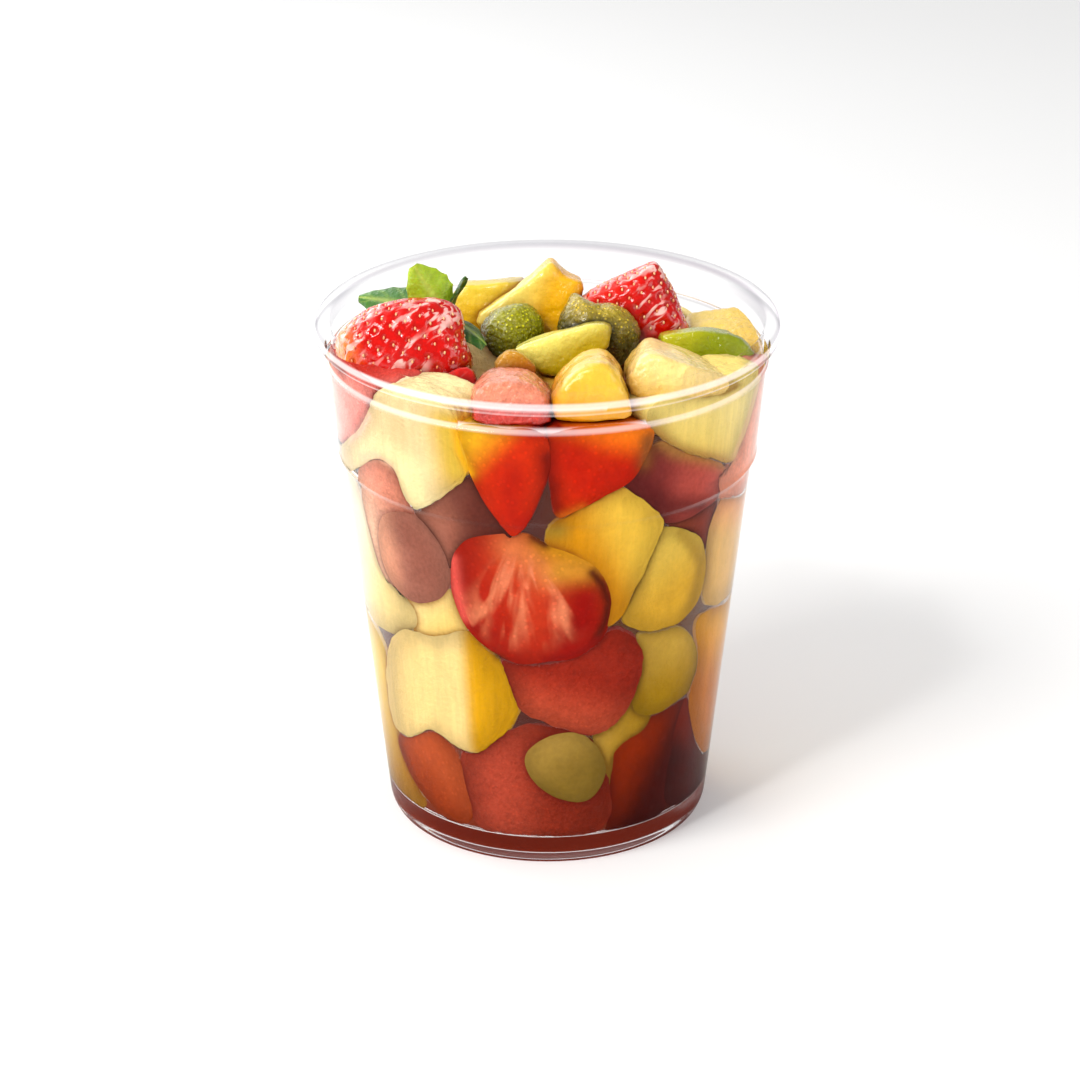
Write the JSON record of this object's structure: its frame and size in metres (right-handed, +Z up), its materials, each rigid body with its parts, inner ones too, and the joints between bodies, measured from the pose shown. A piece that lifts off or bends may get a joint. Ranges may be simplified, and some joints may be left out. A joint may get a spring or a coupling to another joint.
{
  "type": "fruit cup",
  "caption": "Clear plastic cup with a rolled rim, filled to the brim with wet cut fruit and berries, for a table or counter.",
  "frame": {"origin": "The middle of the cup's foot, on the surface that it stands on.", "axes": "+Z is up along the cup's axis, and -Y is the side whose fruit is seen first."},
  "size_m": [0.098, 0.098, 0.1249],
  "materials": {
    "cup_plastic": "clear glossy plastic",
    "mixed_fruit": "wet cut fruit of several kinds, soft gloss",
    "strawberry": "wet strawberry skin with seeds, glossy",
    "mango": "wet mango flesh, soft gloss",
    "pineapple": "wet pale yellow pineapple flesh, soft gloss",
    "watermelon": "wet pink melon flesh, soft gloss",
    "kiwi": "wet green kiwi flesh with dark seeds, glossy",
    "melon": "wet yellow-green melon flesh, soft gloss",
    "peach": "wet peach flesh, soft gloss",
    "grape": "dull red and green grape skin, soft gloss",
    "leaf": "fresh berry leaf, satin",
    "juice": "thin red-brown fruit juice"
  },
  "bodies": {
    "root": {"cup": "cup_plastic", "fruit_fill": "mixed_fruit", "strawberry_left": "strawberry", "strawberry_right": "strawberry", "strawberry_under": "strawberry", "pineapple_front": "pineapple", "pineapple_back": "pineapple", "mango_front": "mango", "mango_peak": "mango", "mango_strip": "mango", "watermelon_front": "watermelon", "kiwi_dark": "kiwi", "kiwi_speckled": "kiwi", "kiwi_slice": "kiwi", "melon_wedge": "melon", "peach_bit": "peach", "calyx_left": "leaf"}
  },
  "joints": []
}
